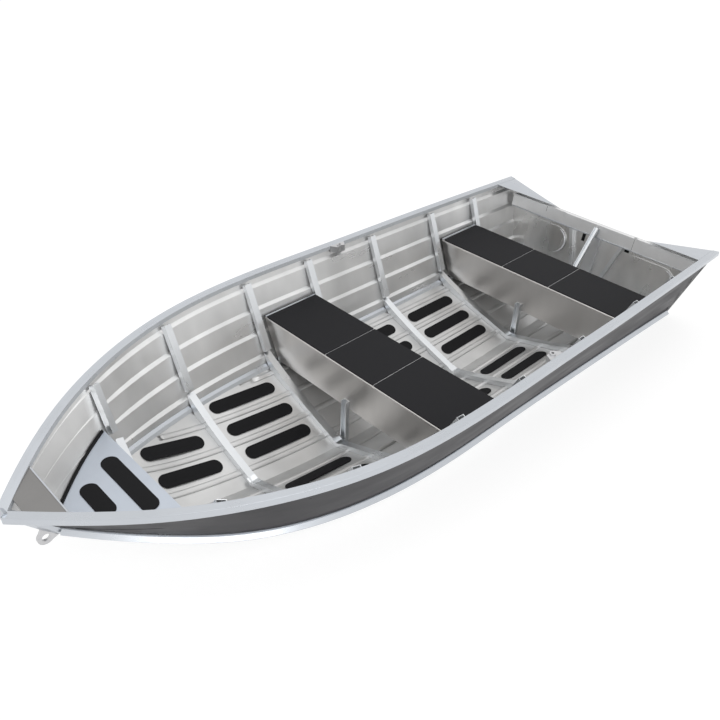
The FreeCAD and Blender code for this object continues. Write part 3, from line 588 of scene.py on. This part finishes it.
def mirrored(solid):
    """The same solid on the other side of the boat."""
    points, faces = solid
    return [Vector((p.x, -p.y, p.z)) for p in points], faces


def piece(name, solids, slot_name, finish=None, smooth=False):
    """One named piece of the dressing, made of closed solids, in its slot's finish or another."""
    points = []
    faces = []
    for some_points, some_faces in solids:
        base = len(points)
        points += some_points
        faces += [tuple(i + base for i in face) for face in some_faces]
    obj = mesh_object(name, points, faces)
    shape = bmesh.new()
    shape.from_mesh(obj.data)
    bmesh.ops.recalc_face_normals(shape, faces=shape.faces)
    for face in shape.faces:
        face.smooth = smooth and len(face.verts) == wall_corners
    shape.to_mesh(obj.data)
    shape.free()
    paint(obj, finish or slot_name)
    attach(obj, "root")


def below(tree, x, y):
    """The place where a drop of water would land on a CAD node's face."""
    return tree.ray_cast(Vector((x, y, above_hull)), Vector((0, 0, -1)))[0]


def arch_ring(centre, across, up, half, rise):
    """Round-topped section standing on a surface and rooted below it."""
    ring = [centre - across * half - up * ridge_root]
    for i in range(arch_points):
        angle = math.pi * (1 - i / (arch_points - 1))
        ring.append(centre + across * (half * math.cos(angle)) + up * (rise * math.sin(angle)))
    ring.append(centre + across * half - up * ridge_root)
    return ring


def ridge(tree, y, front):
    """A pressed ridge with rounded ends along one line of the bottom."""
    rings = []
    start = stern.x + ridge_start
    end = stern.x + front
    count = int((end - start) / ridge_step)
    rounding = [ridge_half * (1 - math.cos(math.radians(a))) for a in ridge_end_angles]
    places = [start + r for r in rounding]
    places += [start + ridge_half + (end - start - ridge_half * 2) * i / count for i in range(count + 1)]
    places += [end - r for r in reversed(rounding)]
    for x in places:
        inner = below(tree, x, y - ridge_side)
        outer = below(tree, x, y + ridge_side)
        if inner is None or outer is None:
            continue
        reach = min(1.0, (x - start) / ridge_half, (end - x) / ridge_half)
        swell = math.sqrt(max(least_swell, 1 - (1 - reach) ** 2))
        across = (outer - inner).normalized()
        up = Vector((1, 0, 0)).cross(across).normalized()
        rings.append(arch_ring((inner + outer) / 2, across, up, ridge_half * swell, ridge_rise * swell))
    return loft(rings)


def bottom_ridges():
    """Pressed ridges on both sides of the keel."""
    tree = tree_of("bottom_sheet_port")
    port = [ridge(tree, y, front) for y, front in zip(ridge_places, ridge_ends)]
    piece("bottom_ridges", port + [mirrored(solid) for solid in port], "hull_sheet", "bottom_sheet", True)


def transom_place(y, drop, inward):
    """A point by the raked transom, from its outer face at the sheer."""
    normal = Vector((1.0, 0.0, rake_slope)).normalized()
    return stern + Vector((drop * rake_slope, y, -drop)) + normal * inward


def transom_slab(y0, y1, drop0, drop1, inward0, inward1):
    """A rectangular slab that follows the transom's rake."""
    corners = [transom_place(y, drop, inward0) for y, drop in
               ((y0, drop0), (y1, drop0), (y1, drop1), (y0, drop1))]
    return slab(corners, transom_place(0, 0, inward1) - transom_place(0, 0, inward0))


def arc_bead(y):
    """A round bead along part of a circle on the transom, thinner at its ends."""
    rings = []
    for i in range(bead_steps + 1):
        angle = math.radians(-bead_swing + bead_swing * 2 * i / bead_steps)
        swell = bead_half * max(bead_end_share, math.sin(math.pi * i / bead_steps))
        ring = []
        for j in range(bead_sides):
            turn = math.pi * 2 * j / bead_sides
            reach = bead_arc_radius + swell * math.cos(turn)
            ring.append(transom_place(y + reach * math.cos(angle), bead_drop - reach * math.sin(angle),
                                      bead_depth + bead_half * math.sin(turn)))
        rings.append(ring)
    return loft(rings)


def transom_details():
    """Lap plates and lower flange of the top beam, black slabs of painted shade in the slots below it, and
    the panels' end beads.
    """
    piece("beam_lap_plates", [transom_slab(*plate) for plate in lap_plates], "extrusion", "transom_beam")
    piece("beam_seams", [transom_slab(*seam) for seam in beam_seams], "floor_pad")
    piece("beam_lower_flange", [transom_slab(*lower_flange)], "extrusion")
    # Painted shade: black slabs in the slots
    piece("stiffener_slot_shades", [transom_slab(*slot) for slot in stiffener_slot_shades], "floor_pad")
    piece("panel_end_beads", [arc_bead(y) for y in bead_places], "extrusion", "panel_bead", True)


def lip_spots(tree, x, low, high):
    """Points down the gunwale's inboard side at one station."""
    spots = []
    z = high
    while z > low:
        hit = tree.ray_cast(Vector((x, 0.0, z)), Vector((0, 1, 0)))[0]
        if hit is not None:
            spots.append(hit)
        z -= lip_scan_step
    return spots


def rail_lips():
    """Smooth inner face of each gunwale's lip, in a paler, almost non-metallic copy of the rail's finish as
    painted light.
    """
    tree = tree_of("gunwale_port")
    low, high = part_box("gunwale_port")
    rings = []
    for i in range(lip_stations + 1):
        x = low[0] + lip_end + (high[0] - low[0] - lip_end - lip_front) * i / lip_stations
        spots = lip_spots(tree, x, low[2], high[2])
        top = spots[lip_top_spot]
        foot = min((s for s in spots if abs(s.y - top.y) < lip_fold), key=lambda s: s.z)
        under = foot.z - lip_overhang
        rings.append([Vector((x, top.y - lip_cover, top.z)), Vector((x, foot.y - lip_cover, under)),
                      Vector((x, foot.y + lip_root, under)), Vector((x, top.y + lip_root, top.z))])
    side = loft(rings)
    piece("gunwale_inner_faces", [side, mirrored(side)], "extrusion", "gunwale_lip_painted_light")


def hook_edge():
    """Thin pale lip along the rear edge of the plate in the bow."""
    low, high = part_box("breasthook")
    half = high[1] - hook_side
    rear = low[0] + hook_rear
    front = rear + hook_lip_width
    outline = ((rear, half), (rear, -half), (front, -half + hook_lip_taper), (front, half - hook_lip_taper))
    corners = [Vector((x, y, high[2] - hook_sink)) for x, y in outline]
    piece("breasthook_lip", [slab(corners, Vector((0, 0, hook_lip_height)))], "extrusion")


def tray_gap_shades():
    """Black strip of painted shade in the gap between the bow tray and the planks."""
    tree = tree_of("bow_tray")
    low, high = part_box("bow_tray")
    level = high[2] - tray_shade_sink
    section = ((-tray_shade_inner, tray_shade_half), (tray_shade_outer, tray_shade_half),
               (tray_shade_outer, -tray_shade_half), (-tray_shade_inner, -tray_shade_half))
    rings = []
    for i in range(tray_shade_stations + 1):
        x = low[0] + tray_shade_rear + (high[0] - low[0] - tray_shade_shortfall) * i / tray_shade_stations
        hit = tree.ray_cast(Vector((x, tray_shade_search, level)), Vector((0, -1, 0)))[0]
        if hit is not None:
            rings.append([Vector((x, hit.y + a, level + b)) for a, b in section])
    side = loft(rings)
    # Painted shade: a black strip filling the gap beside the tray
    piece("bow_tray_gap_shade", [side, mirrored(side)], "floor_pad")


def rectangle(x0, x1, y0, y1, z):
    """Corners of a level rectangle."""
    return [Vector((x0, y0, z)), Vector((x1, y0, z)), Vector((x1, y1, z)), Vector((x0, y1, z))]


def seat_end(seat, sign, inner, outer, top):
    """A level bar along one end of a seat."""
    low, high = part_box(seat)
    corners = rectangle(low[0] + end_inset, high[0] - end_inset, sign * (high[1] + inner),
                        sign * (high[1] + outer), high[2] - end_root)
    return slab(corners, Vector((0, 0, top + end_root)))


def seat_ends():
    """Pale end strip and a black bar of painted shade in the gap at each seat's far and near ends."""
    ends = [(seat, sign) for seat in ("forward_thwart", "aft_thwart") for sign in (1, -1)]
    piece("seat_end_strips", [seat_end(*end, *end_strip) for end in ends], "extrusion")
    # Painted shade: black bars in the gaps at the seats' ends
    piece("seat_end_shade_bars", [seat_end(*end, *end_shade_bar) for end in ends], "floor_pad")


def mat_seams():
    """Pale metal showing in the gaps between the mats."""
    seams = []
    for mats in ("forward_thwart_mats", "aft_thwart_mats"):
        low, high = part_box(mats)
        for middle in (seam_place, -seam_place):
            corners = rectangle(low[0], high[0], middle - seam_half, middle + seam_half, low[2] - seam_root)
            seams.append(slab(corners, Vector((0, 0, high[2] - low[2] - seam_shortfall))))
    piece("mat_seams", seams, "fitting")


bottom_ridges()
transom_details()
rail_lips()
hook_edge()
tray_gap_shades()
seat_ends()
mat_seams()

water_floor()
for softbox in softboxes:
    area_light(*softbox)
studio_world()
photo_camera()
bpy.context.scene.view_settings.view_transform = "Standard"
